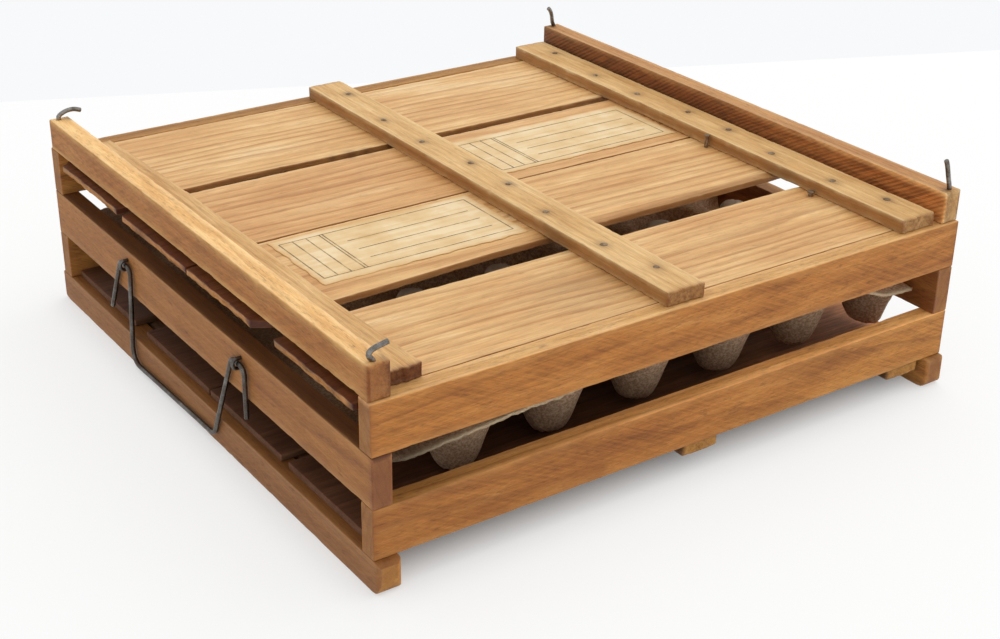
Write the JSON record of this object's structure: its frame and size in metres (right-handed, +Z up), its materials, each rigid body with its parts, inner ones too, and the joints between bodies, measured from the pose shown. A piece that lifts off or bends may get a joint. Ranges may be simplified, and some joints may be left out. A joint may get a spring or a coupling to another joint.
{
  "type": "egg carrier crate",
  "caption": "Low square wooden crate of crossed slats on wire corner pins, with a loose battened lid, a moulded pulp egg flat inside and a wire carrying bail on one side.",
  "frame": {"origin": "on the ground under the middle of the crate's box", "axes": "+X to the right along the front, +Y to the back, +Z up; the bail hangs on the -X side"},
  "size_m": [0.335, 0.336, 0.1198],
  "materials": {
    "frame_wood": "weathered, sawn",
    "rail_wood": "weathered, planed",
    "board_wood": "bare, planed",
    "batten_wood": "bare, planed",
    "steel_wire": "dark, drawn",
    "nail_iron": "dull",
    "moulded_pulp": "rough grey-brown moulded paper pulp"
  },
  "bodies": {
    "crate": {"left_runner": "frame_wood", "right_runner": "frame_wood", "front_bottom_slat": "frame_wood", "back_bottom_slat": "frame_wood", "left_middle_slat": "frame_wood", "right_middle_slat": "frame_wood", "front_top_slat": "frame_wood", "back_top_slat": "frame_wood", "left_top_rail": "rail_wood", "right_top_rail": "rail_wood", "bottom_board_1": "board_wood", "bottom_board_2": "board_wood", "bottom_board_3": "board_wood", "bottom_board_4": "board_wood", "bottom_batten_left": "batten_wood", "bottom_batten_middle": "batten_wood", "bottom_batten_right": "batten_wood", "bottom_nails": "nail_iron", "bail_staples": "steel_wire"},
    "lid": {"lid_board_1": "board_wood", "lid_board_2": "board_wood", "lid_board_3": "board_wood", "lid_board_4": "board_wood", "lid_batten_left": "batten_wood", "lid_batten_middle": "batten_wood", "lid_batten_right": "batten_wood", "lid_nails": "nail_iron"},
    "flat": {"egg_flat": "moulded_pulp"},
    "bail": {"bail_handle": "steel_wire"},
    "front_left_pin": {"pin_front_left": "steel_wire"},
    "back_left_pin": {"pin_back_left": "steel_wire"},
    "front_right_pin": {"pin_front_right": "steel_wire"},
    "back_right_pin": {"pin_back_right": "steel_wire"}
  },
  "joints": [
    {"name": "lid_tilt", "type": "hinge", "parent": "crate", "child": "lid", "pos_m": [-0.152, 0, 0.104], "axis": [0, -1, 0], "range_deg": [0, 95]},
    {"name": "bail_swing", "type": "hinge", "parent": "crate", "child": "bail", "pos_m": [-0.1642, 0, 0.0565], "axis": [0, 1, 0], "range_deg": [0, 170]},
    {"name": "flat_lift", "type": "slide", "parent": "crate", "child": "flat", "axis": [0, 0, 1], "range_m": [0, 0.012]},
    {"name": "front_left_hook_turn", "type": "hinge", "parent": "crate", "child": "front_left_pin", "pos_m": [-0.15775, -0.16025, 0.104], "axis": [0, 0, 1], "range_deg": [0, 90]},
    {"name": "back_left_hook_turn", "type": "hinge", "parent": "crate", "child": "back_left_pin", "pos_m": [-0.15775, 0.16025, 0.104], "axis": [0, 0, 1], "range_deg": [-90, 0]},
    {"name": "front_right_hook_turn", "type": "hinge", "parent": "crate", "child": "front_right_pin", "pos_m": [0.16275, -0.16025, 0.104], "axis": [0, 0, 1], "range_deg": [-90, 0]},
    {"name": "back_right_hook_turn", "type": "hinge", "parent": "crate", "child": "back_right_pin", "pos_m": [0.16275, 0.16025, 0.104], "axis": [0, 0, 1], "range_deg": [0, 90]}
  ]
}
